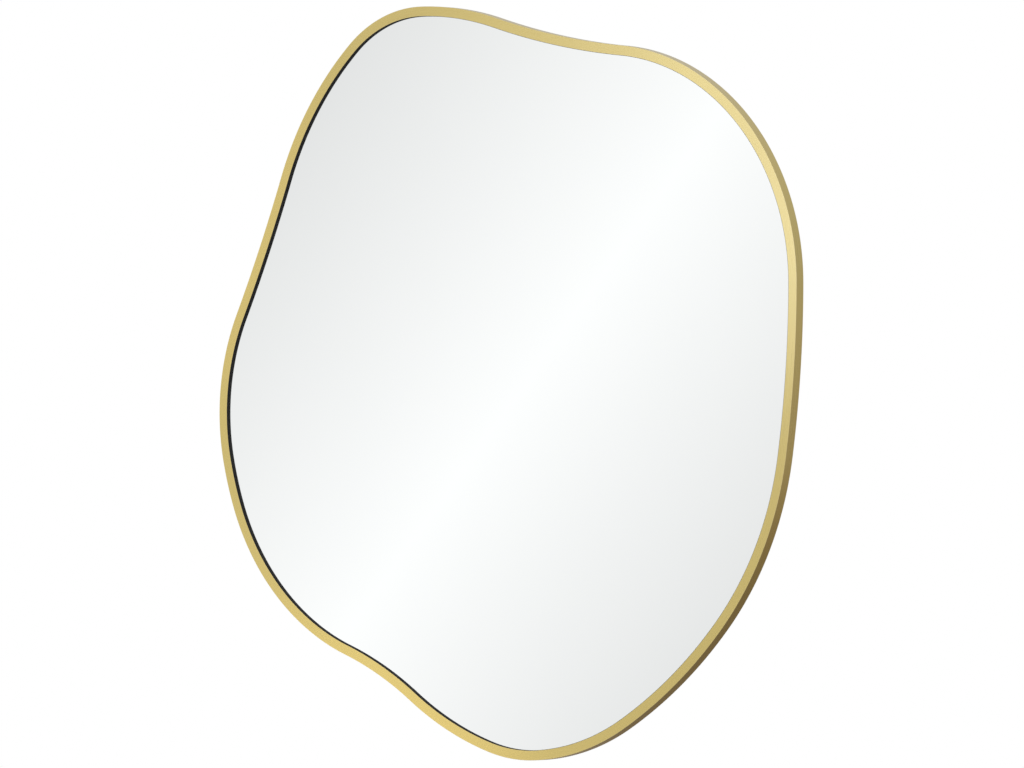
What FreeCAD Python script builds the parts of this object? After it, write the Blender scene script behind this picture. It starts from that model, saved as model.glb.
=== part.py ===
import FreeCAD, Part
import math
import os

# A free-form wall mirror: a flat metal ring with a band behind it, mirror glass,
# a backing board and a two-part hanging rail. Millimetres. The front faces -Y,
# the wall is the plane Y = 0 and +Z is up. The origin is the middle of the wall
# rail's row of holes, on the wall, straight behind the mirror's balance line.

# ---- outline of the frame, seen from the front, counter-clockwise ----
# Each lobe is a circle (centre right, centre up, radius), placed from the middle
# of the mirror. A tangent arc of the last value joins it to the next lobe: it is
# a hollow where that value is negative. The lobes are written for the drawn
# height, and the whole outline follows the mirror's height from there.
MIRROR_HEIGHT = 987.35
DRAWN_HEIGHT = 987.35
LOBES = [
    ("upper_right", (153.0, 101.0, 311.5), -1100.0),
    ("top", (-145.5, 42.0, 428.5), 178.5),
    ("upper_left", (35.5, 94.5, 446.5), -2290.0),
    ("left", (-181.0, -64.0, 308.5), 470.5),
    ("lower_left", (-159.5, -79.5, 325.0), -479.0),
    ("lower_middle", (99.0, -75.0, 452.0), 222.0),
    ("bottom", (26.0, -198.0, 319.0), 634.5),
    ("right", (13.5, -54.5, 439.0), 1500.0),
]

# ---- frame ----
RING_WIDTH = 12.7
RING_THICKNESS = 1.5
RING_EDGE_BREAK = 0.3
SLICE_REACH = 40.0
BAND_THICKNESS = 1.5
FRAME_DEPTH = 15.0
LUG_COUNT = 8
LUG_REACH = 6.5
LUG_LENGTH = 16.0

# ---- glass and what lies against it ----
TAPE_THICKNESS = 2.2
TAPE_SETBACK = 0.3
GLASS_THICKNESS = 4.0
GLASS_GAP = 0.7
FILM_THICKNESS = 0.2
FILM_MARGIN = 1.0
PAD_THICKNESS = 0.8
PAD_WIDTH = 25.0
PAD_HEIGHT = 180.0
PAD_COLUMNS = 3
PAD_ROWS = 3
PAD_SPACING_X = 230.0
PAD_SPACING_Z = 230.0
BLOCK_LENGTH = 30.0
BLOCK_FIT = 0.1

# ---- backing board and its screws ----
BOARD_THICKNESS = 5.0
BOARD_GAP = 0.6
BOARD_SCREW_RADIUS = 1.5
BOARD_SCREW_LENGTH = 10.0
BOARD_SCREW_HEAD_FLATS = 5.5
BOARD_SCREW_HEAD_HEIGHT = 2.0
SCREW_HOLE_CLEARANCE = 0.2
THREAD_FIT = 0.05

# ---- hanging rails ----
RAIL_THICKNESS = 2.0
RAIL_CLEARANCE = 0.4
RAIL_HOOK = 12.0
RAIL_HOOK_END_GAP = 0.5
RAIL_CORNER_RADIUS = 0.4
SAME_LENGTH = 0.001
RAIL_ABOVE_MIDDLE = 205.0
WALL_RAIL_LENGTH = 450.0
WALL_RAIL_PLATE = 24.0
WALL_HOLE_RADIUS = 2.75
WALL_HOLE_SPACINGS = (406.4, 101.6)
HANGING_RAIL_LENGTH = 410.0
HANGING_RAIL_PLATE = 24.0
RAIL_SCREW_COUNT = 4
RAIL_SCREW_SPACING = 120.0
RAIL_SCREW_RADIUS = 2.0
RAIL_SCREW_LENGTH = 6.5
RAIL_SCREW_HEAD_FLATS = 7.0
RAIL_SCREW_HEAD_HEIGHT = 2.6
NUT_SIDE = 7.0
NUT_THICKNESS = 2.2
NUT_POCKET_CLEARANCE = 0.1

# ---- wall bumpers ----
BUMPER_RADIUS = 10.0
BUMPER_EDGE_BREAK = 1.0
BUMPER_SPACING = 300.0
BUMPER_ABOVE_BOTTOM = 116.848

# ---- depths, counted from the front of the ring towards the wall ----
TAPE_FRONT = RING_THICKNESS
GLASS_FRONT = TAPE_FRONT + TAPE_THICKNESS
FILM_FRONT = GLASS_FRONT + GLASS_THICKNESS
PAD_FRONT = FILM_FRONT + FILM_THICKNESS
BOARD_FRONT = PAD_FRONT + PAD_THICKNESS
BOARD_BACK = BOARD_FRONT + BOARD_THICKNESS
STAND_OFF = 2 * RAIL_THICKNESS + 3 * RAIL_CLEARANCE
WALL_DEPTH = BOARD_BACK + STAND_OFF

# ---- insets, counted inwards from the outline ----
BAND_INSET = BAND_THICKNESS
BOARD_INSET = BAND_INSET + BOARD_GAP
LUG_INSET = BAND_INSET + LUG_REACH
LUG_HOLE_INSET = BAND_INSET + LUG_REACH / 2
GLASS_INSET = LUG_INSET + GLASS_GAP


def tangent_point(lobe, radius, blend_centre, blend_radius):
    """Where a lobe and a blend arc touch, on the line through their centres."""
    away = lobe - blend_centre
    return blend_centre + away * (blend_radius / (blend_radius - radius))


def blend_centre(first, first_radius, second, second_radius, blend_radius):
    """Centre of the arc that touches both lobes."""
    reach_first = abs(blend_radius - first_radius)
    reach_second = abs(blend_radius - second_radius)
    across = second - first
    distance = across.Length
    along = (reach_first ** 2 - reach_second ** 2 + distance ** 2) / (2 * distance)
    offset = math.sqrt(reach_first ** 2 - along ** 2)
    across.normalize()
    inward = FreeCAD.Vector(-across.z, 0, across.x)
    side = 1 if blend_radius > 0 else -1
    return first + across * along + inward * (offset * side)


def outline_arcs(inset):
    """The outline's arcs, moved inwards by inset: (centre, signed radius, start, end)."""
    scale = MIRROR_HEIGHT / DRAWN_HEIGHT
    lobes = [FreeCAD.Vector(x, 0, z) * scale for _, (x, z, _), _ in LOBES]
    radii = [radius * scale for _, (_, _, radius), _ in LOBES]
    blends = [blend * scale for _, _, blend in LOBES]
    centres = []
    for i, blend in enumerate(blends):
        j = (i + 1) % len(LOBES)
        centres.append(blend_centre(lobes[i], radii[i], lobes[j], radii[j], blend))
    arcs = []
    for i, blend in enumerate(blends):
        j = (i + 1) % len(LOBES)
        radius = radii[i] - inset
        start = tangent_point(lobes[i], radius, centres[i - 1], blends[i - 1] - inset)
        end = tangent_point(lobes[i], radius, centres[i], blend - inset)
        onward = tangent_point(lobes[j], radii[j] - inset, centres[i], blend - inset)
        arcs.append((lobes[i], radius, start, end))
        arcs.append((centres[i], blend - inset, end, onward))
    return arcs


def arc_turn(centre, radius, start, end):
    """The angle that an arc turns through, counter-clockwise positive."""
    first = math.atan2(start.z - centre.z, start.x - centre.x)
    last = math.atan2(end.z - centre.z, end.x - centre.x)
    return math.remainder(last - first, 2 * math.pi)


def arc_point(centre, start, angle):
    """The arc's start turned about its centre by an angle, seen from the front."""
    arm = start - centre
    return centre + FreeCAD.Vector(
        arm.x * math.cos(angle) - arm.z * math.sin(angle),
        0,
        arm.x * math.sin(angle) + arm.z * math.cos(angle),
    )


def outline_face(inset):
    """The flat shape inside the outline, moved inwards by inset."""
    edges = []
    for centre, radius, start, end in outline_arcs(inset):
        middle = arc_point(centre, start, arc_turn(centre, radius, start, end) / 2)
        edges.append(Part.Arc(start, middle, end).toShape())
    return Part.Face(Part.Wire(edges))


# The rails sit on the line through the outline's centre of area, so that the
# mirror hangs level.
MIRROR_PLACE = FreeCAD.Vector(
    -outline_face(0).CenterOfMass.x,
    -WALL_DEPTH,
    -RAIL_ABOVE_MIDDLE,
)


def plate(inset, front, thickness):
    """A sheet of the outline's shape, from its front depth back."""
    face = outline_face(inset)
    face.translate(MIRROR_PLACE + FreeCAD.Vector(0, front, 0))
    return face.extrude(FreeCAD.Vector(0, thickness, 0))


def ring(outer_inset, inner_inset, front, thickness):
    """A closed strip that follows the outline between two insets."""
    face = outline_face(outer_inset).cut(outline_face(inner_inset)).Faces[0]
    face.translate(MIRROR_PLACE + FreeCAD.Vector(0, front, 0))
    return face.extrude(FreeCAD.Vector(0, thickness, 0))


def outline_station(share, inset):
    """The point a share of the way round the outline, and the direction inwards."""
    arcs = outline_arcs(0)
    lengths = [abs(radius * arc_turn(c, radius, a, b)) for c, radius, a, b in arcs]
    left = (share % 1) * sum(lengths)
    for (centre, radius, start, end), length in zip(arcs, lengths):
        if left <= length:
            break
        left -= length
    turn = arc_turn(centre, radius, start, end) * left / length
    point = arc_point(centre, start, turn)
    inward = (centre - point) * (1 / radius)
    return point + inward * inset, inward


def outline_slice(share, length):
    """A block across the frame at one station, to cut a short length of a ring."""
    point, inward = outline_station(share, 0)
    block = Part.makeBox(length, 2 * WALL_DEPTH, 2 * SLICE_REACH)
    block.translate(FreeCAD.Vector(-length / 2, -WALL_DEPTH / 2, -SLICE_REACH))
    up = FreeCAD.Vector(0, 0, 1)
    block.Placement = FreeCAD.Placement(
        point + MIRROR_PLACE, FreeCAD.Rotation(up, inward)
    ).multiply(block.Placement)
    return block


def rod(place, radius, length):
    """A round rod from a point towards the wall."""
    return Part.makeCylinder(radius, length, place, FreeCAD.Vector(0, 1, 0))


def square_block(place, side, length):
    """A square block from a point towards the wall."""
    corner = place - FreeCAD.Vector(side / 2, 0, side / 2)
    return Part.makeBox(side, length, side, corner)


def hex_screw(seat, radius, length, head_flats, head_height):
    """A screw driven towards the front: the underside of its hexagon head is at the seat."""
    corner = head_flats / math.sqrt(3)
    corners = [
        seat + FreeCAD.Vector(
            corner * math.cos(math.radians(60 * i)),
            0,
            corner * math.sin(math.radians(60 * i)),
        )
        for i in range(7)
    ]
    head = Part.Face(Part.makePolygon(corners)).extrude(FreeCAD.Vector(0, head_height, 0))
    shank = rod(seat - FreeCAD.Vector(0, length, 0), radius, length)
    return head.fuse(shank)


def at_depth(point, depth):
    """A point of the outline's plane, moved to its place at a depth."""
    return point + MIRROR_PLACE + FreeCAD.Vector(0, depth, 0)


def spaced(count, spacing):
    """Evenly spaced places about zero."""
    return [(i - (count - 1) / 2) * spacing for i in range(count)]


def lug_shares():
    return [i / LUG_COUNT for i in range(LUG_COUNT)]


def outline_wire(inset, depth):
    wire = outline_face(inset).OuterWire
    wire.translate(MIRROR_PLACE + FreeCAD.Vector(0, depth, 0))
    return wire


def make_face_ring():
    """A flat ring whose two front corners are broken by small chamfers."""
    rims = []
    for inset, front_inset in (
        (0, RING_EDGE_BREAK),
        (RING_WIDTH, RING_WIDTH - RING_EDGE_BREAK),
    ):
        chamfer = Part.makeLoft(
            [outline_wire(front_inset, 0), outline_wire(inset, RING_EDGE_BREAK)], True, True
        )
        rest = plate(inset, RING_EDGE_BREAK, RING_THICKNESS - RING_EDGE_BREAK)
        rims.append(chamfer.fuse(rest).removeSplitter())
    outer, inner = rims
    return outer.cut(inner)


def make_side_band():
    return ring(0, BAND_INSET, RING_THICKNESS, FRAME_DEPTH - RING_THICKNESS)


def make_frame_lugs():
    strip = ring(BAND_INSET, LUG_INSET, RING_THICKNESS, BOARD_FRONT - RING_THICKNESS)
    lugs = []
    for share in lug_shares():
        lug = strip.common(outline_slice(share, LUG_LENGTH))
        hole, _ = outline_station(share, LUG_HOLE_INSET)
        tapped = rod(at_depth(hole, 0), BOARD_SCREW_RADIUS + THREAD_FIT, WALL_DEPTH)
        lugs.append(lug.cut(tapped))
    return Part.makeCompound(lugs)


def make_glazing_tape():
    return ring(GLASS_INSET, RING_WIDTH - TAPE_SETBACK, TAPE_FRONT, TAPE_THICKNESS)


def make_mirror_glass():
    return plate(GLASS_INSET, GLASS_FRONT, GLASS_THICKNESS)


def make_safety_film():
    return plate(GLASS_INSET + FILM_MARGIN, FILM_FRONT, FILM_THICKNESS)


def make_foam_pads():
    pads = []
    for x in spaced(PAD_COLUMNS, PAD_SPACING_X):
        for z in spaced(PAD_ROWS, PAD_SPACING_Z):
            corner = FreeCAD.Vector(x - PAD_WIDTH / 2, 0, z - PAD_HEIGHT / 2)
            pads.append(
                Part.makeBox(PAD_WIDTH, PAD_THICKNESS, PAD_HEIGHT, at_depth(corner, PAD_FRONT))
            )
    return Part.makeCompound(pads)


def make_setting_blocks():
    """Rubber blocks under the glass's edge, midway between the lugs."""
    strip = ring(
        BAND_INSET + BLOCK_FIT,
        GLASS_INSET - BLOCK_FIT,
        GLASS_FRONT,
        GLASS_THICKNESS,
    )
    return Part.makeCompound([
        strip.common(outline_slice(share + 0.5 / LUG_COUNT, BLOCK_LENGTH))
        for share in lug_shares()
    ])


def rail_screw_seats():
    """Where the rail screws' heads bear on the hanging rail."""
    height = hanging_rail_foot() + HANGING_RAIL_PLATE / 2 + RAIL_THICKNESS / 2
    depth = -STAND_OFF + RAIL_THICKNESS
    return [
        FreeCAD.Vector(x, depth, height)
        for x in spaced(RAIL_SCREW_COUNT, RAIL_SCREW_SPACING)
    ]


def hanging_rail_foot():
    """Height of the wall rail's top edge, which the hanging rail's web rests on."""
    return WALL_RAIL_PLATE / 2 + RAIL_THICKNESS + RAIL_HOOK


def make_backing_board():
    board = plate(BOARD_INSET, BOARD_FRONT, BOARD_THICKNESS)
    cuts = []
    for share in lug_shares():
        hole, _ = outline_station(share, LUG_HOLE_INSET)
        cuts.append(
            rod(
                at_depth(hole, BOARD_FRONT),
                BOARD_SCREW_RADIUS + SCREW_HOLE_CLEARANCE,
                BOARD_THICKNESS,
            )
        )
    front = MIRROR_PLACE.y + BOARD_FRONT
    for seat in rail_screw_seats():
        mouth = FreeCAD.Vector(seat.x, front, seat.z)
        cuts.append(rod(mouth, RAIL_SCREW_RADIUS + SCREW_HOLE_CLEARANCE, BOARD_THICKNESS))
        cuts.append(square_block(mouth, NUT_SIDE + 2 * NUT_POCKET_CLEARANCE, NUT_THICKNESS))
    return board.cut(Part.makeCompound(cuts))


def make_board_screws():
    screws = []
    for share in lug_shares():
        hole, _ = outline_station(share, LUG_HOLE_INSET)
        screws.append(
            hex_screw(
                at_depth(hole, BOARD_BACK),
                BOARD_SCREW_RADIUS,
                BOARD_SCREW_LENGTH,
                BOARD_SCREW_HEAD_FLATS,
                BOARD_SCREW_HEAD_HEIGHT,
            )
        )
    return Part.makeCompound(screws)


def rail(section, length):
    """An extruded rail from the (depth, height) corners of its section."""
    corners = [FreeCAD.Vector(-length / 2, y, z) for y, z in section]
    face = Part.Face(Part.makePolygon(corners + corners[:1]))
    bar = face.extrude(FreeCAD.Vector(length, 0, 0))
    long_edges = [edge for edge in bar.Edges if abs(edge.Length - length) < SAME_LENGTH]
    return bar.makeFillet(RAIL_CORNER_RADIUS, long_edges)


def make_wall_rail():
    """Plate on the wall, a web forwards at its top, and a hook upwards."""
    web = WALL_RAIL_PLATE / 2
    hook_back = -(RAIL_THICKNESS + 2 * RAIL_CLEARANCE)
    hook_front = hook_back - RAIL_THICKNESS
    top = hanging_rail_foot()
    bar = rail(
        [
            (0, -WALL_RAIL_PLATE / 2),
            (0, web + RAIL_THICKNESS),
            (hook_back, web + RAIL_THICKNESS),
            (hook_back, top),
            (hook_front, top),
            (hook_front, web),
            (-RAIL_THICKNESS, web),
            (-RAIL_THICKNESS, -WALL_RAIL_PLATE / 2),
        ],
        WALL_RAIL_LENGTH,
    )
    for spacing in WALL_HOLE_SPACINGS:
        for x in spaced(2, spacing):
            mouth = FreeCAD.Vector(x, -RAIL_THICKNESS, 0)
            bar = bar.cut(rod(mouth, WALL_HOLE_RADIUS, RAIL_THICKNESS))
    return bar


def make_hanging_rail():
    """Plate on the board, a web back at its foot, and a hook down behind the wall rail's."""
    foot = hanging_rail_foot()
    plate_front = -STAND_OFF
    plate_back = plate_front + RAIL_THICKNESS
    hook_back = -RAIL_CLEARANCE
    hook_front = hook_back - RAIL_THICKNESS
    bottom = foot - RAIL_HOOK + RAIL_HOOK_END_GAP
    bar = rail(
        [
            (plate_front, foot),
            (plate_front, foot + RAIL_THICKNESS + HANGING_RAIL_PLATE),
            (plate_back, foot + RAIL_THICKNESS + HANGING_RAIL_PLATE),
            (plate_back, foot + RAIL_THICKNESS),
            (hook_back, foot + RAIL_THICKNESS),
            (hook_back, bottom),
            (hook_front, bottom),
            (hook_front, foot),
        ],
        HANGING_RAIL_LENGTH,
    )
    for seat in rail_screw_seats():
        mouth = FreeCAD.Vector(seat.x, plate_front, seat.z)
        bar = bar.cut(rod(mouth, RAIL_SCREW_RADIUS + SCREW_HOLE_CLEARANCE, RAIL_THICKNESS))
    return bar


def make_rail_screws():
    return Part.makeCompound([
        hex_screw(
            seat,
            RAIL_SCREW_RADIUS,
            RAIL_SCREW_LENGTH,
            RAIL_SCREW_HEAD_FLATS,
            RAIL_SCREW_HEAD_HEIGHT,
        )
        for seat in rail_screw_seats()
    ])


def make_rail_nuts():
    """Square nuts let into the front of the board."""
    front = MIRROR_PLACE.y + BOARD_FRONT
    nuts = []
    for seat in rail_screw_seats():
        mouth = FreeCAD.Vector(seat.x, front, seat.z)
        nut = square_block(mouth, NUT_SIDE, NUT_THICKNESS)
        nuts.append(nut.cut(rod(mouth, RAIL_SCREW_RADIUS + THREAD_FIT, NUT_THICKNESS)))
    return Part.makeCompound(nuts)


def make_wall_bumpers():
    """Rubber discs between the board and the wall, near the mirror's lowest point."""
    height = MIRROR_PLACE.z + outline_face(0).BoundBox.ZMin + BUMPER_ABOVE_BOTTOM
    bumpers = []
    for x in spaced(2, BUMPER_SPACING):
        disc = rod(FreeCAD.Vector(x, -STAND_OFF, height), BUMPER_RADIUS, STAND_OFF)
        rim = [edge for edge in disc.Edges if edge.CenterOfMass.y > -BUMPER_EDGE_BREAK / 2]
        bumpers.append(disc.makeChamfer(BUMPER_EDGE_BREAK, rim))
    return Part.makeCompound(bumpers)


NODES = {
    "face_ring": make_face_ring,
    "side_band": make_side_band,
    "frame_lugs": make_frame_lugs,
    "glazing_tape": make_glazing_tape,
    "mirror_glass": make_mirror_glass,
    "safety_film": make_safety_film,
    "foam_pads": make_foam_pads,
    "setting_blocks": make_setting_blocks,
    "backing_board": make_backing_board,
    "board_screws": make_board_screws,
    "hanging_rail": make_hanging_rail,
    "rail_screws": make_rail_screws,
    "rail_nuts": make_rail_nuts,
    "wall_rail": make_wall_rail,
    "wall_bumpers": make_wall_bumpers,
}

os.makedirs("parts", exist_ok=True)
for name, make in NODES.items():
    solid = make()
    solid.exportStep(f"parts/{name}.step")
    print(name, len(solid.Solids), round(solid.Volume, 1), solid.isValid())
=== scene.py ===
import math

import bpy
from mathutils import Matrix, Vector


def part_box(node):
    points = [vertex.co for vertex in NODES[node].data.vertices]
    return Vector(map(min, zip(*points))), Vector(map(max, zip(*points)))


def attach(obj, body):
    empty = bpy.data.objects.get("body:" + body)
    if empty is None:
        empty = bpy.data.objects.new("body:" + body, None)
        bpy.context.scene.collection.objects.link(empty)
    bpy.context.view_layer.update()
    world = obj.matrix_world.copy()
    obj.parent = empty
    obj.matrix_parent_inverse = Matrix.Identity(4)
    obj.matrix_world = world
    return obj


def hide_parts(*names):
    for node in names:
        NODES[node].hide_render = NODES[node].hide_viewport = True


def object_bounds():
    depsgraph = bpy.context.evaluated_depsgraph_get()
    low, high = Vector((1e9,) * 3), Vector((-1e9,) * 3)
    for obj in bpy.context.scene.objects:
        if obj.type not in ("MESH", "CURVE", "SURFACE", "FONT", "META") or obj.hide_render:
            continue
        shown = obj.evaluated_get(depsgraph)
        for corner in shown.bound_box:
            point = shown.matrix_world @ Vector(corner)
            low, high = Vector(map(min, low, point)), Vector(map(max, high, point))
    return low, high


# A free-form wall mirror in a thin brushed-brass frame. Metres, in the packed
# frame: the front faces -Y, the wall is the plane Y = 0 and +Z is up.
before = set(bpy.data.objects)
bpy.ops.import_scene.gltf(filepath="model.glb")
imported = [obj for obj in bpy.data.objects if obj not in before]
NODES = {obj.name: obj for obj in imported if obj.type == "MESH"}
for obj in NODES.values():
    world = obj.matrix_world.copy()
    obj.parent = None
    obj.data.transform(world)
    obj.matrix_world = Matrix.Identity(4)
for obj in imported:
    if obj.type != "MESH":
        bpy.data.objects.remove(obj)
CAD_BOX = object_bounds()
MM = 0.001

# ---- outline, seen from the front, counter-clockwise: millimetres ----
# Each lobe is a circle (centre right, centre up, radius). A tangent arc of the
# last value joins it to the next lobe: it is a hollow where that is negative.
LOBES = [
    ((153.0, 101.0, 311.5), -1100.0),
    ((-145.5, 42.0, 428.5), 178.5),
    ((35.5, 94.5, 446.5), -2290.0),
    ((-181.0, -64.0, 308.5), 470.5),
    ((-159.5, -79.5, 325.0), -479.0),
    ((99.0, -75.0, 452.0), 222.0),
    ((26.0, -198.0, 319.0), 634.5),
    ((13.5, -54.5, 439.0), 1500.0),
]
STATION_STEP = 4 * MM

# ---- the frame's section: insets from the outline, depths from the front ----
RING_WIDTH = 12.7 * MM
RING_THICKNESS = 1.5 * MM
RING_OUTER_ROUND = 0.25 * MM
RING_INNER_ROUND = 0.15 * MM
BAND_THICKNESS = 1.5 * MM
FRAME_DEPTH = 15.0 * MM
BAND_BACK_ROUND = 0.3 * MM
# The pale band beside each rounded edge is worn brass and a painted edge highlight.
WEAR_AND_HIGHLIGHT_WIDTH = 0.5 * MM
ROUND_STEPS = 4

# ---- glass and tape ----
GLASS_INSET = 8.7 * MM
GLASS_FRONT = 3.7 * MM
GLASS_THICKNESS = 4.0 * MM
GLASS_ARRIS = 0.4 * MM
# The lip is a thin black sheet over the brass ring's inner wall: painted shade that stands in for
# the dark recess.
SHADE_LIP = 0.4 * MM
SHADE_LIP_FRONT = 0.15 * MM

# ---- screws: radius, length, head across flats, head height ----
BOARD_SCREW = (1.5 * MM, 10.0 * MM, 5.5 * MM, 2.0 * MM)
BOARD_SCREW_INSET = 4.75 * MM
BOARD_SCREW_COUNT = 8
BOARD_BACK = 13.7 * MM
RAIL_SCREW = (2.0 * MM, 6.5 * MM, 7.0 * MM, 2.6 * MM)
RAIL_SCREW_SPACING = 120.0 * MM
RAIL_SCREW_COUNT = 4
HEX_STEPS_PER_SIDE = 6
HEX_CHAMFER = math.radians(30)
HEX_CROWN = 0.95
HEX_TOP = 0.8
TIP_WIDTH = 0.55
TIP_HEIGHT = 0.5

# ---- wall bumpers ----
BUMPER_RADIUS = 10.0 * MM
BUMPER_ROUND = 1.2 * MM
BUMPER_SHOULDER = 0.35 * BUMPER_ROUND
BUMPER_DISH = 0.5 * MM
DISH_OUTER_RADIUS = 0.6 * BUMPER_RADIUS
DISH_INNER_RADIUS = 0.5 * BUMPER_RADIUS

# ---- camera ----
LENS = 316.4
SENSOR = 36.0
CAMERA_YAW = math.radians(37.78)
CAMERA_PITCH = math.radians(-0.26)
CAMERA_DISTANCE = 11.742
AIM = (5.9 * MM, -26.4 * MM)


# ------------------------------------------------------------------ outline

def blend_centre(first, first_radius, second, second_radius, blend_radius):
    """Centre of the arc that touches both lobes."""
    reach_first = abs(blend_radius - first_radius)
    reach_second = abs(blend_radius - second_radius)
    across = second - first
    distance = across.length
    along = (reach_first ** 2 - reach_second ** 2 + distance ** 2) / (2 * distance)
    offset = math.sqrt(reach_first ** 2 - along ** 2)
    across.normalize()
    inward = Vector((-across.y, across.x))
    side = 1 if blend_radius > 0 else -1
    return first + across * along + inward * (offset * side)


def outline_arcs():
    """The outline's arcs as (centre, signed radius, start point, turn)."""
    lobes = [Vector((x, z)) * MM for (x, z, _), _ in LOBES]
    radii = [radius * MM for (_, _, radius), _ in LOBES]
    blends = [blend * MM for _, blend in LOBES]
    circles = []
    for i, blend in enumerate(blends):
        j = (i + 1) % len(LOBES)
        circles.append((lobes[i], radii[i]))
        centre = blend_centre(lobes[i], radii[i], lobes[j], radii[j], blend)
        circles.append((centre, blend))
    touches = []
    for i, (centre, radius) in enumerate(circles):
        onward, onward_radius = circles[(i + 1) % len(circles)]
        touches.append(centre + (onward - centre) * (radius / (radius - onward_radius)))
    arcs = []
    for i, (centre, radius) in enumerate(circles):
        start = touches[i - 1]
        arm, last = start - centre, touches[i] - centre
        turn = math.atan2(arm.x * last.y - arm.y * last.x, arm.dot(last))
        arcs.append((centre, radius, start, turn))
    return arcs


def outline_stations():
    """Points round the outline as (point, inward direction, distance along)."""
    stations = []
    along = 0.0
    for centre, radius, start, turn in outline_arcs():
        length = abs(radius * turn)
        steps = max(1, math.ceil(length / STATION_STEP))
        for i in range(steps):
            arm = Matrix.Rotation(turn * i / steps, 2) @ (start - centre)
            stations.append((centre + arm, arm * (-1 / radius), along + length * i / steps))
        along += length
    return stations, along


STATIONS, PERIMETER = outline_stations()
RING_LOW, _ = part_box("face_ring")
PLACE = Vector((
    RING_LOW.x - min(p.x for p, _, _ in STATIONS),
    RING_LOW.y,
    RING_LOW.z - min(p.y for p, _, _ in STATIONS),
))


def spot(station, inset, depth):
    """A point of the section at one station, in the row frame."""
    point, inward, _ = station
    place = point + inward * inset
    return PLACE + Vector((place.x, depth, place.y))


def station_at(share):
    """The station nearest to a share of the way round."""
    return min(STATIONS, key=lambda s: abs(s[2] - share * PERIMETER))


# ------------------------------------------------------------------ meshes

def section_points(corners, closed=True):
    """The points of a section, from its corners.

    A corner is (inset, depth, round), and only a right-angled one is rounded. A point
    is (place, normal before, normal after, edge), where place is (inset, depth) and
    edge is 1 on a rounded corner and 0 on the flats.
    """
    points = []
    count = len(corners)
    for i, (inset, depth, radius) in enumerate(corners):
        here = Vector((inset, depth))
        before = Vector(corners[i - 1][:2])
        after = Vector(corners[(i + 1) % count][:2])
        coming, going = (here - before).normalized(), (after - here).normalized()
        if not closed and i == 0:
            coming = going
        if not closed and i == count - 1:
            going = coming
        normal_in = Vector((coming.y, -coming.x))
        normal_out = Vector((going.y, -going.x))
        if radius == 0:
            points.append((here, normal_in, normal_out, 0.0))
            continue
        centre = here - coming * radius + going * radius
        points.append((here - coming * (radius + WEAR_AND_HIGHLIGHT_WIDTH), normal_in, normal_in, 0.0))
        for step in range(ROUND_STEPS + 1):
            angle = math.pi / 2 * step / ROUND_STEPS
            normal = normal_in * math.cos(angle) + normal_out * math.sin(angle)
            points.append((centre + normal * radius, normal, normal, 1.0))
        points.append((here + going * (radius + WEAR_AND_HIGHLIGHT_WIDTH), normal_out, normal_out, 0.0))
    return points


def make_object(name, verts, faces, normals, uvs, edges, slots, materials):
    """A mesh with exact corner normals, UVs in metres and an edge attribute for the pale edges:
    wear and a painted edge highlight.
    """
    mesh = bpy.data.meshes.new(name)
    mesh.from_pydata(verts, [], faces)
    layer = mesh.uv_layers.new(name="UVMap")
    layer.data.foreach_set("uv", [value for face in uvs for uv in face for value in uv])
    mesh.polygons.foreach_set("use_smooth", [True] * len(faces))
    for material in materials:
        mesh.materials.append(material)
    mesh.polygons.foreach_set("material_index", slots)
    attribute = mesh.attributes.new("edge", "FLOAT", "POINT")
    attribute.data.foreach_set("value", edges)
    mesh.normals_split_custom_set([normal for face in normals for normal in face])
    mesh.update()
    piece = bpy.data.objects.new(name, mesh)
    bpy.context.scene.collection.objects.link(piece)
    return piece


def sweep(name, materials, corners, caps=False):
    """A section carried round the outline. With caps it is a plate: the section's
    two open ends are closed by flat faces, which take the second material."""
    section = section_points(corners, closed=not caps)
    size, count = len(section), len(STATIONS)
    verts = [spot(s, point.x, point.y) for s in STATIONS for point, _, _, _ in section]
    edges = [edge for _ in STATIONS for _, _, _, edge in section]
    across = [0.0]
    for i in range(size):
        step = section[(i + 1) % size][0] - section[i][0]
        across.append(across[-1] + step.length)
    faces, normals, uvs, slots = [], [], [], []
    for i, station in enumerate(STATIONS):
        j = (i + 1) % count
        onward = STATIONS[j]
        far = onward[2] if j else PERIMETER
        for k in range(size - 1 if caps else size):
            m = (k + 1) % size
            after, before = section[k][2], section[m][1]
            faces.append((i * size + k, j * size + k, j * size + m, i * size + m))
            normals.append([
                lift(station, after), lift(onward, after),
                lift(onward, before), lift(station, before),
            ])
            uvs.append([
                (station[2], across[k]), (far, across[k]),
                (far, across[k + 1]), (station[2], across[k + 1]),
            ])
            slots.append(0)
    if caps:
        front = [i * size for i in range(count)]
        back = [i * size + size - 1 for i in reversed(range(count))]
        for ring, facing in ((front, Vector((0, -1, 0))), (back, Vector((0, 1, 0)))):
            faces.append(ring)
            normals.append([facing] * count)
            uvs.append([(verts[v].x, verts[v].z) for v in ring])
            slots.append(1)
    return make_object(name, verts, faces, normals, uvs, edges, slots, materials)


def lift(station, normal):
    """A section normal turned into the row frame at one station."""
    inward = station[1]
    return Vector((inward.x * normal.x, normal.y, inward.y * normal.x))


def lathe(name, places, profile, steps=48):
    """Turned discs on axes along +Y: the profile is (radius, depth) points."""
    verts, faces = [], []
    for place in places:
        rings = []
        for radius, depth in profile:
            if radius == 0:
                rings.append([len(verts)])
                verts.append(place + Vector((0, depth, 0)))
                continue
            ring = []
            for i in range(steps):
                angle = 2 * math.pi * i / steps
                ring.append(len(verts))
                offset = Vector((radius * math.cos(angle), depth, radius * math.sin(angle)))
                verts.append(place + offset)
            rings.append(ring)
        for first, second in zip(rings, rings[1:]):
            for i in range(steps):
                j = (i + 1) % steps
                corners = [first[i % len(first)], first[j % len(first)],
                           second[j % len(second)], second[i % len(second)]]
                faces.append(list(dict.fromkeys(corners)))
    return shaded(name, verts, faces)


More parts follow.
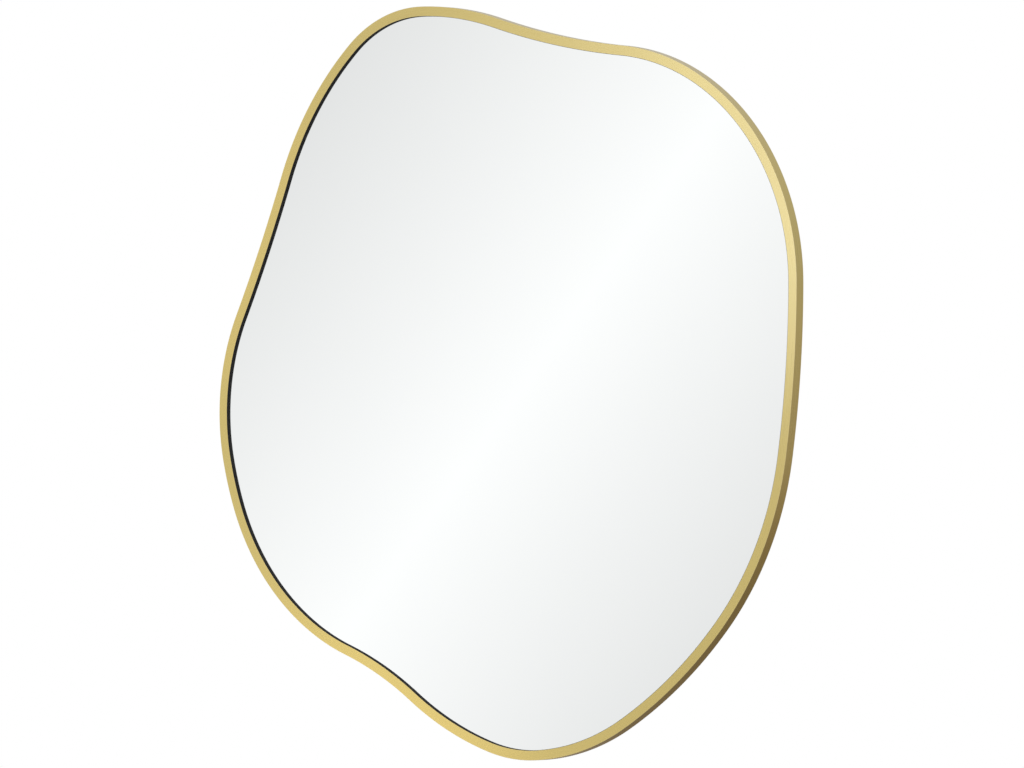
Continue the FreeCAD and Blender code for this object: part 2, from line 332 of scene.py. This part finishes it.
def shaded(name, verts, faces, sharp=35):
    """A mesh that is smooth apart from its corners."""
    mesh = bpy.data.meshes.new(name)
    mesh.from_pydata(verts, [], faces)
    mesh.polygons.foreach_set("use_smooth", [True] * len(faces))
    mesh.set_sharp_from_angle(angle=math.radians(sharp))
    mesh.update()
    piece = bpy.data.objects.new(name, mesh)
    bpy.context.scene.collection.objects.link(piece)
    return piece


def hex_screws(name, seats, radius, length, flats, height):
    """Hexagon-head screws with chamfered heads, driven towards the front from +Y."""
    verts, faces = [], []
    steps = 6 * HEX_STEPS_PER_SIDE
    crown = HEX_CROWN * flats / 2
    # (size, depth) rows from the tip to the top. No size is the hexagon's own, and
    # no depth is the chamfer that runs from its corners up to the round crown.
    rows = [
        (radius * TIP_WIDTH, -length), (radius, -length + radius * TIP_HEIGHT), (radius, 0.0),
        (None, 0.0), (None, None), (crown, height), (crown * HEX_TOP, height),
    ]
    for seat in seats:
        rings = []
        for size, depth in rows:
            ring = []
            for i in range(steps):
                angle = 2 * math.pi * i / steps
                step = i % HEX_STEPS_PER_SIDE
                off_flat = step * math.pi / 3 / HEX_STEPS_PER_SIDE - math.pi / 6
                wide = flats / 2 / math.cos(off_flat)
                reach = wide if size is None else size
                level = height - (wide - crown) * math.tan(HEX_CHAMFER) if depth is None else depth
                ring.append(len(verts))
                offset = Vector((reach * math.cos(angle), level, reach * math.sin(angle)))
                verts.append(seat + offset)
            rings.append(ring)
        for first, second in zip(rings, rings[1:]):
            for i in range(steps):
                j = (i + 1) % steps
                faces.append([first[i], first[j], second[j], second[i]])
        faces.append(list(reversed(rings[0])))
        faces.append(rings[-1])
    return shaded(name, verts, faces, sharp=20)


# ------------------------------------------------------------------ materials

class Nodes:
    """A short way to write a node material."""

    def __init__(self, name):
        self.material = bpy.data.materials.new(name)
        self.material.use_nodes = True
        self.tree = self.material.node_tree
        self.shader = self.tree.nodes["Principled BSDF"]

    def add(self, kind, **settings):
        node = self.tree.nodes.new(kind)
        for key, value in settings.items():
            setattr(node, key, value)
        return node

    def link(self, source, target):
        self.tree.links.new(source, target)

    def fix(self, **values):
        """Sets constants on the shader's own sockets."""
        for key, value in values.items():
            self.shader.inputs[key.replace("_", " ")].default_value = value

    def coords(self, scale, uv=False):
        """Stretched texture coordinates: the object's own, or its UVs."""
        mapping = self.add("ShaderNodeMapping")
        mapping.inputs["Scale"].default_value = scale
        if uv:
            source = self.add("ShaderNodeUVMap", uv_map="UVMap").outputs["UV"]
        else:
            source = self.add("ShaderNodeTexCoord").outputs["Object"]
        self.link(source, mapping.inputs["Vector"])
        return mapping.outputs["Vector"]

    def noise(self, vector, scale=1.0, detail=3.0, roughness=0.5):
        node = self.add("ShaderNodeTexNoise")
        node.inputs["Scale"].default_value = scale
        node.inputs["Detail"].default_value = detail
        node.inputs["Roughness"].default_value = roughness
        self.link(vector, node.inputs["Vector"])
        return node.outputs["Fac"]

    def ramp(self, value, low, high, low_out, high_out):
        """A value carried from one range to another."""
        node = self.add("ShaderNodeMapRange")
        for socket, number in zip(node.inputs[1:5], (low, high, low_out, high_out)):
            socket.default_value = number
        self.link(value, node.inputs[0])
        return node.outputs[0]

    def math(self, operation, first, second):
        node = self.add("ShaderNodeMath", operation=operation)
        for socket, value in zip(node.inputs, (first, second)):
            if isinstance(value, (int, float)):
                socket.default_value = value
            else:
                self.link(value, socket)
        return node.outputs[0]

    def mix(self, factor, first, second):
        """A blend of two colours, each a colour or a socket."""
        node = self.add("ShaderNodeMix", data_type="RGBA")
        self.link(factor, node.inputs["Factor"])
        for socket, value in ((node.inputs[6], first), (node.inputs[7], second)):
            if isinstance(value, tuple):
                socket.default_value = (*value, 1.0)
            else:
                self.link(value, socket)
        return node.outputs[2]

    def bump(self, height, strength, distance):
        node = self.add("ShaderNodeBump")
        node.inputs["Strength"].default_value = strength
        node.inputs["Distance"].default_value = distance
        self.link(height, node.inputs["Height"])
        self.link(node.outputs["Normal"], self.shader.inputs["Normal"])

    def paint(self, colour=None, rough=None):
        if colour is not None:
            self.link(colour, self.shader.inputs["Base Color"])
        if rough is not None:
            self.link(rough, self.shader.inputs["Roughness"])
        return self.material


BRASS = (0.74, 0.575, 0.148)
BRASS_DEEP = (0.65, 0.495, 0.118)
# BRASS_PALE is the colour of the rounded edges: worn brass and a painted edge highlight.
BRASS_PALE = (0.86, 0.74, 0.36)


def brass_material():
    """Brushed and lacquered brass: fine streaks along the strip, pale corners that are partly wear
    and partly a painted edge highlight.
    """
    m = Nodes("brushed_brass")
    fine = m.noise(m.coords((9.0, 4200.0, 1.0), uv=True), detail=3.0, roughness=0.55)
    broad = m.noise(m.coords((3.0, 900.0, 1.0), uv=True), detail=2.0)
    cloud = m.noise(m.coords((1.0, 1.0, 1.0)), scale=9.0, detail=2.0)
    tone = m.mix(m.ramp(fine, 0.3, 0.7, 0.0, 1.0), BRASS_DEEP, BRASS)
    tone = m.mix(m.ramp(cloud, 0.35, 0.65, 0.0, 0.35), tone, BRASS)
    # Pale rounded edges in patches: partly worn brass, partly a painted edge highlight.
    edge = m.add("ShaderNodeAttribute", attribute_name="edge").outputs["Fac"]
    worn_and_highlight = m.math("MULTIPLY", m.ramp(edge, 0.2, 1.0, 0.0, 0.5),
                  m.ramp(broad, 0.3, 0.6, 0.4, 1.0))
    tone = m.mix(worn_and_highlight, tone, BRASS_PALE)
    rough = m.math("ADD", m.ramp(fine, 0.3, 0.7, 0.26, 0.34),
                   m.ramp(cloud, 0.3, 0.7, -0.02, 0.02))
    m.bump(fine, 0.07, 0.00002)
    tangent = m.add("ShaderNodeTangent", direction_type="UV_MAP", uv_map="UVMap")
    m.link(tangent.outputs["Tangent"], m.shader.inputs["Tangent"])
    m.fix(Metallic=1.0, Anisotropic=0.45, Anisotropic_Rotation=0.25,
          Coat_Weight=1.0, Coat_IOR=1.8, Coat_Roughness=0.30)
    return m.paint(tone, rough)


def mirror_material():
    """A clean mirror with the faintest cool tint. It reflects at the glass's front."""
    m = Nodes("silvered_glass")
    haze = m.noise(m.coords((1.0, 1.0, 1.0)), scale=5.0, detail=2.0)
    tone = m.mix(haze, (0.955, 0.972, 0.968), (0.965, 0.978, 0.975))
    m.fix(Metallic=1.0)
    return m.paint(tone, m.ramp(haze, 0.3, 0.7, 0.0, 0.006))


def glass_edge_material():
    """The ground edge of the pane: pale green and matt."""
    m = Nodes("glass_edge")
    grain = m.noise(m.coords((1.0, 1.0, 1.0)), scale=900.0, detail=2.0)
    m.fix(IOR=1.5)
    m.bump(grain, 0.3, 0.00005)
    tone = m.mix(grain, (0.16, 0.27, 0.22), (0.26, 0.38, 0.32))
    return m.paint(tone, m.ramp(grain, 0.3, 0.7, 0.35, 0.6))


def grained_material(name, low, high, rough, scale, depth, metallic=0.0,
                     stretch=(1.0, 1.0, 1.0)):
    """A surface with a fine grain in colour, gloss and height."""
    m = Nodes(name)
    grain = m.noise(m.coords(stretch), scale=scale, detail=4.0, roughness=0.6)
    cloud = m.noise(m.coords((1.0, 1.0, 1.0)), scale=14.0, detail=2.0)
    tone = m.mix(m.ramp(grain, 0.3, 0.7, 0.0, 1.0), low, high)
    gloss = m.math("ADD", m.ramp(grain, 0.3, 0.7, rough - 0.07, rough + 0.07),
                   m.ramp(cloud, 0.3, 0.7, -0.03, 0.03))
    m.bump(grain, 0.4, depth)
    m.fix(Metallic=metallic)
    return m.paint(tone, gloss)


def clothe(piece, *materials):
    piece.data.materials.clear()
    for material in materials:
        piece.data.materials.append(material)


# ------------------------------------------------------------------ camera

yaw, pitch = CAMERA_YAW, CAMERA_PITCH
FORWARD = Vector((
    -math.sin(yaw) * math.cos(pitch),
    math.cos(yaw) * math.cos(pitch),
    -math.sin(pitch),
))
TARGET = PLACE + Vector((AIM[0], 0, AIM[1]))

camera_data = bpy.data.cameras.new("camera")
camera_data.lens = LENS
camera_data.sensor_width = SENSOR
camera_data.clip_end = 100
camera = bpy.data.objects.new("camera", camera_data)
camera.location = TARGET - FORWARD * CAMERA_DISTANCE
camera.rotation_euler = FORWARD.to_track_quat("-Z", "Y").to_euler()
bpy.context.scene.collection.objects.link(camera)
bpy.context.scene.camera = camera
bpy.context.scene.view_settings.view_transform = "Standard"

# ------------------------------------------------------------------ pieces

brass = brass_material()
mirror = mirror_material()
tape_and_shade_black = grained_material("tape_and_shade_black", (0.006, 0.006, 0.006), (0.014, 0.013, 0.012),
                              0.85, 700.0, 0.0001)
board_black = grained_material("board_black", (0.022, 0.022, 0.023), (0.042, 0.041, 0.040),
                               0.62, 260.0, 0.0001, stretch=(1.0, 1.0, 3.0))
aluminium = grained_material("aluminium", (0.60, 0.63, 0.66), (0.71, 0.74, 0.77),
                             0.36, 1.0, 0.00001, 1.0, stretch=(12.0, 2600.0, 2600.0))
zinc = grained_material("zinc", (0.56, 0.57, 0.58), (0.70, 0.70, 0.69),
                        0.34, 420.0, 0.00002, 1.0)
lug_steel = grained_material("lug_steel", (0.50, 0.49, 0.46), (0.64, 0.62, 0.58),
                             0.42, 380.0, 0.00003, 1.0)
rubber = grained_material("rubber", (0.012, 0.012, 0.012), (0.026, 0.026, 0.026),
                          0.66, 520.0, 0.00005)
foam = grained_material("foam", (0.55, 0.56, 0.56), (0.72, 0.72, 0.71), 0.92, 640.0, 0.0002)
film = grained_material("film", (0.30, 0.36, 0.42), (0.36, 0.42, 0.48), 0.30, 90.0, 0.00002)

ring = sweep("brass_face_ring", [brass], [
    (0, 0, RING_OUTER_ROUND),
    (RING_WIDTH, 0, RING_INNER_ROUND),
    (RING_WIDTH, RING_THICKNESS, 0),
    (0, RING_THICKNESS, 0),
])
band = sweep("brass_side_band", [brass], [
    (0, RING_THICKNESS, 0),
    (BAND_THICKNESS, RING_THICKNESS, 0),
    (BAND_THICKNESS, FRAME_DEPTH, BAND_BACK_ROUND),
    (0, FRAME_DEPTH, BAND_BACK_ROUND),
])
# Black glazing tape behind the ring, with a lip up over the ring's inner wall; the tape is real
# and the lip is painted shade for the dark recess.
tape_and_shade_lip = sweep("black_tape_and_shade_lip", [tape_and_shade_black], [
    (GLASS_INSET, RING_THICKNESS, 0),
    (RING_WIDTH, RING_THICKNESS, 0),
    (RING_WIDTH, SHADE_LIP_FRONT, 0),
    (RING_WIDTH + SHADE_LIP, SHADE_LIP_FRONT, 0),
    (RING_WIDTH + SHADE_LIP, GLASS_FRONT, 0),
    (GLASS_INSET, GLASS_FRONT, 0),
])
pane = sweep("mirror_pane", [glass_edge_material(), mirror], [
    (GLASS_INSET + GLASS_ARRIS, GLASS_FRONT, 0),
    (GLASS_INSET, GLASS_FRONT + GLASS_ARRIS, 0),
    (GLASS_INSET, GLASS_FRONT + GLASS_THICKNESS - GLASS_ARRIS, 0),
    (GLASS_INSET + GLASS_ARRIS, GLASS_FRONT + GLASS_THICKNESS, 0),
], caps=True)
for piece, node, slot in (
    (ring, "face_ring", "brushed_brass"),
    (band, "side_band", "brushed_brass"),
    (tape_and_shade_lip, "glazing_tape", "black_tape"),
    (pane, "mirror_glass", "mirror"),
):
    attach(piece, "mirror")
    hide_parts(node)

board_seats = [
    spot(station_at(i / BOARD_SCREW_COUNT), BOARD_SCREW_INSET, BOARD_BACK)
    for i in range(BOARD_SCREW_COUNT)
]
rail_low, rail_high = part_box("rail_screws")
rail_seat_y = rail_high.y - RAIL_SCREW[3]
rail_seat_z = (rail_low.z + rail_high.z) / 2
rail_seats = [
    Vector(((i - (RAIL_SCREW_COUNT - 1) / 2) * RAIL_SCREW_SPACING, rail_seat_y, rail_seat_z))
    for i in range(RAIL_SCREW_COUNT)
]
screw_pieces = []
for name, seats, size, node in (
    ("board_hex_screws", board_seats, BOARD_SCREW, "board_screws"),
    ("rail_hex_screws", rail_seats, RAIL_SCREW, "rail_screws"),
):
    screws = hex_screws(name, seats, *size)
    clothe(screws, zinc)
    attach(screws, "mirror")
    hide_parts(node)
    screw_pieces.append(screws)

low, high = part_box("wall_bumpers")
middle = (low.z + high.z) / 2
deep = high.y - low.y
bumpers = lathe(
    "rubber_wall_bumpers",
    [Vector((x, low.y, middle)) for x in (low.x + BUMPER_RADIUS, high.x - BUMPER_RADIUS)],
    [
        (0, 0), (BUMPER_RADIUS, 0), (BUMPER_RADIUS, deep - BUMPER_ROUND),
        (BUMPER_RADIUS - BUMPER_SHOULDER, deep - BUMPER_SHOULDER),
        (BUMPER_RADIUS - BUMPER_ROUND, deep),
        (DISH_OUTER_RADIUS, deep), (DISH_INNER_RADIUS, deep - BUMPER_DISH),
        (0, deep - BUMPER_DISH),
    ],
)
clothe(bumpers, rubber)
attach(bumpers, "mirror")
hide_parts("wall_bumpers")

for node, material in (
    ("frame_lugs", lug_steel), ("safety_film", film), ("foam_pads", foam),
    ("setting_blocks", rubber), ("backing_board", board_black), ("hanging_rail", aluminium),
    ("rail_nuts", zinc), ("wall_rail", aluminium),
):
    clothe(NODES[node], material)

# ------------------------------------------------------------------ stage

FLOOR_DROP = 0.55
FLOOR_RADIUS = 6.0
FLOOR_FADE_FROM = 0.25 * FLOOR_RADIUS
FLOOR_FADE_TO = 0.95 * FLOOR_RADIUS
SURROUND_RADIUS = 4.5
AMBIENT = 0.6


def disc(name, radius, place, steps=128):
    verts = [place] + [
        place + Vector((radius * math.cos(a), radius * math.sin(a), 0))
        for a in (2 * math.pi * i / steps for i in range(steps))
    ]
    faces = [(0, i + 1, (i + 1) % steps + 1) for i in range(steps)]
    return shaded(name, verts, faces)


def floor_material():
    """A pale floor that keeps the shadow, fades to the white backdrop and isn't there
    from underneath."""
    m = Nodes("floor_pale")
    grain = m.noise(m.coords((1.0, 1.0, 1.0)), scale=60.0, detail=2.0)
    m.fix(Specular_IOR_Level=0.0, Roughness=0.9)
    m.paint(m.mix(grain, (0.80, 0.80, 0.80), (0.82, 0.82, 0.82)))
    white = m.add("ShaderNodeEmission")
    white.inputs["Color"].default_value = (1, 1, 1, 1)
    from_middle = m.add("ShaderNodeVectorMath", operation="LENGTH")
    m.link(m.coords((1.0, 1.0, 0.0)), from_middle.inputs[0])
    fade = m.ramp(from_middle.outputs["Value"], FLOOR_FADE_FROM, FLOOR_FADE_TO, 0.0, 1.0)
    seen = m.add("ShaderNodeLightPath").outputs["Is Camera Ray"]
    blend = m.add("ShaderNodeMixShader")
    m.link(m.math("MULTIPLY", fade, seen), blend.inputs[0])
    m.link(m.shader.outputs[0], blend.inputs[1])
    m.link(white.outputs[0], blend.inputs[2])
    one_sided = m.add("ShaderNodeMixShader")
    m.link(m.add("ShaderNodeNewGeometry").outputs["Backfacing"], one_sided.inputs[0])
    m.link(blend.outputs[0], one_sided.inputs[1])
    m.link(m.add("ShaderNodeBsdfTransparent").outputs[0], one_sided.inputs[2])
    m.link(one_sided.outputs[0], m.tree.nodes["Material Output"].inputs["Surface"])
    return m.material


floor = disc("floor", FLOOR_RADIUS, Vector((0, 0, CAD_BOX[0].z - FLOOR_DROP)))
clothe(floor, floor_material())

# Soft surroundings that only mirrors and metal show: slanting bands that fade
# from white to grey and back, dimmer behind the mirror and below it. They are
# placed for this camera: GLOW_PIXEL is the width that one pixel of the picture
# covers on them, seen in the glass, and the bands' slopes are per pixel.
PICTURE_WIDTH = 1024
GLOW_PIXEL = (CAMERA_DISTANCE + SURROUND_RADIUS) / (LENS / SENSOR * PICTURE_WIDTH)
GLOW_ACROSS = (0.814, 0.581)
GLOW_OFFSET = (-2 * GLOW_PIXEL, -6 * GLOW_PIXEL)
GLOW_PEAK = 1.03
GLOW_FALL = 0.00069 / GLOW_PIXEL
GLOW_HALF_PERIOD = 600 * GLOW_PIXEL
GLOW_EXTRA_FROM = 330 * GLOW_PIXEL
GLOW_EXTRA_FALL = 0.0009 / GLOW_PIXEL
WARM_BELOW = (1.0, 0.83, 0.67)
reflected = Vector((FORWARD.x, -FORWARD.y, FORWARD.z))
sideways = Vector((math.cos(yaw), -math.sin(yaw), 0))


def sphere(name, centre, radius, rows=32, columns=64):
    verts, faces = [], []
    for i in range(rows + 1):
        polar = math.pi * i / rows
        for j in range(columns):
            turn = 2 * math.pi * j / columns
            verts.append(centre + radius * Vector((
                math.sin(polar) * math.cos(turn),
                math.sin(polar) * math.sin(turn),
                math.cos(polar),
            )))
    for i in range(rows):
        for j in range(columns):
            k = (j + 1) % columns
            faces.append((i * columns + j, i * columns + k,
                          (i + 1) * columns + k, (i + 1) * columns + j))
    return shaded(name, verts, faces, sharp=90)


def surroundings_material():
    m = Nodes("soft_surroundings")
    m.tree.nodes.remove(m.shader)
    coords = m.add("ShaderNodeTexCoord").outputs["Object"]

    def along(direction, origin):
        """Distance of a point from an origin along a direction."""
        away = m.add("ShaderNodeVectorMath", operation="SUBTRACT")
        away.inputs[1].default_value = origin
        m.link(coords, away.inputs[0])
        dot = m.add("ShaderNodeVectorMath", operation="DOT_PRODUCT")
        dot.inputs[1].default_value = direction
        m.link(away.outputs[0], dot.inputs[0])
        return dot.outputs["Value"]

    def fade(value, low, high, low_out, high_out):
        """A ramp between two shares of the surroundings' radius."""
        return m.ramp(value, low * SURROUND_RADIUS, high * SURROUND_RADIUS, low_out, high_out)

    glow_origin = TARGET + sideways * GLOW_OFFSET[0] + Vector((0, 0, GLOW_OFFSET[1]))
    across = along(sideways * GLOW_ACROSS[0] - Vector((0, 0, GLOW_ACROSS[1])), glow_origin)
    across = m.math("PINGPONG", across, GLOW_HALF_PERIOD)
    glow = m.math("SUBTRACT", GLOW_PEAK, m.math("MULTIPLY", across, GLOW_FALL))
    extra = m.math("MAXIMUM", m.math("SUBTRACT", across, GLOW_EXTRA_FROM), 0)
    glow = m.math("SUBTRACT", glow, m.math("MULTIPLY", extra, GLOW_EXTRA_FALL))
    height = along(Vector((0, 0, 1)), TARGET)
    front = m.math("MULTIPLY", glow, fade(height, -0.75, -0.2, 0.35, 1.0))
    above = fade(height, 0.0, 0.6, 0.0, 0.12)
    below = fade(height, -0.6, 0.0, 0.20, 0.50)
    behind = m.math("ADD", above, below)
    depth = along(Vector((0, 1, 0)), TARGET)
    to_back = fade(depth, -0.25, 0.25, 0.0, 1.0)
    shade = m.add("ShaderNodeMix", data_type="FLOAT")
    m.link(to_back, shade.inputs[0])
    m.link(front, shade.inputs[2])
    m.link(behind, shade.inputs[3])
    tint = m.mix(fade(height, -0.5, 0.1, 0.0, 1.0), WARM_BELOW, (1.0, 1.0, 1.0))
    light = m.add("ShaderNodeEmission")
    m.link(m.mix(to_back, (1.0, 1.0, 1.0), tint), light.inputs["Color"])
    m.link(shade.outputs[0], light.inputs["Strength"])
    m.link(light.outputs[0], m.tree.nodes["Material Output"].inputs["Surface"])
    m.material.cycles.emission_sampling = "NONE"
    return m.material


surroundings = sphere("surroundings", TARGET, SURROUND_RADIUS)
for flag in ("camera", "diffuse", "transmission", "volume_scatter", "shadow"):
    setattr(surroundings, f"visible_{flag}", False)
clothe(surroundings, surroundings_material())
floor.visible_glossy = False


def soft_lamp(name, place, aim, size, power, in_metal=True, colour=(1, 1, 1), only=None):
    data = bpy.data.lights.new(name, "AREA")
    data.color = colour
    data.shape = "DISK"
    data.size = size
    data.energy = power
    lamp = bpy.data.objects.new(name, data)
    lamp.location = place
    lamp.rotation_euler = (aim - place).to_track_quat("-Z", "Y").to_euler()
    lamp.visible_camera = False
    lamp.visible_glossy = in_metal
    lamp.light_linking.receiver_collection = only
    bpy.context.scene.collection.objects.link(lamp)


def toward(distance, across, up):
    """A place in the direction that the mirror sends the camera's view."""
    return TARGET + reflected * distance + sideways * across + Vector((0, 0, up))


# Some lamps light one group of pieces only, so that none of them shows in the glass.
def group(name, pieces):
    collection = bpy.data.collections.new(name)
    for piece in pieces:
        collection.objects.link(piece)
    return collection


brass_pieces = group("brass_pieces", (ring, band))
rail_pieces = group("rail_pieces", (NODES["hanging_rail"], NODES["wall_rail"], *screw_pieces))
BACK_LAMP = Vector((-1.4, 2.4, 1.4))
COOL = (0.42, 0.50, 1.0)
WARM = (1.0, 0.88, 0.70)
for name, place, size, power, colour in (
    ("key", (1.6, 0.50, 0.62), 0.7, 2.0, COOL),
    ("side_key", (0.8, 0.52, 0.17), 0.35, 0.60, COOL),
    ("left_fill", (1.6, -0.75, 0.30), 0.7, 0.50, WARM),
    ("low_fill", (1.6, -0.42, -0.85), 0.7, 1.65, WARM),
):
    soft_lamp(name, toward(*place), TARGET, size, power, colour=colour, only=brass_pieces)
soft_lamp("top", Vector((0.6, -0.4, 2.6)), TARGET, 1.6, 45, in_metal=False)
soft_lamp("back", BACK_LAMP, TARGET, 1.6, 45, in_metal=False)
soft_lamp("rail_glint", BACK_LAMP, TARGET, 1.6, 40, only=rail_pieces)

world = bpy.data.worlds.new("world")
bpy.context.scene.world = world
world.use_nodes = True
tree = world.node_tree
ambient = tree.nodes["Background"]
ambient.inputs["Color"].default_value = (1, 1, 1, 1)
ambient.inputs["Strength"].default_value = AMBIENT
backdrop = tree.nodes.new("ShaderNodeBackground")
backdrop.inputs["Color"].default_value = (1, 1, 1, 1)
path = tree.nodes.new("ShaderNodeLightPath")
seen = path.outputs["Is Camera Ray"]
for ray in ("Is Glossy Ray", "Is Transmission Ray"):
    either = tree.nodes.new("ShaderNodeMath")
    either.operation = "MAXIMUM"
    tree.links.new(seen, either.inputs[0])
    tree.links.new(path.outputs[ray], either.inputs[1])
    seen = either.outputs[0]
choose = tree.nodes.new("ShaderNodeMixShader")
tree.links.new(seen, choose.inputs[0])
tree.links.new(ambient.outputs[0], choose.inputs[1])
tree.links.new(backdrop.outputs[0], choose.inputs[2])
tree.links.new(choose.outputs[0], tree.nodes["World Output"].inputs["Surface"])
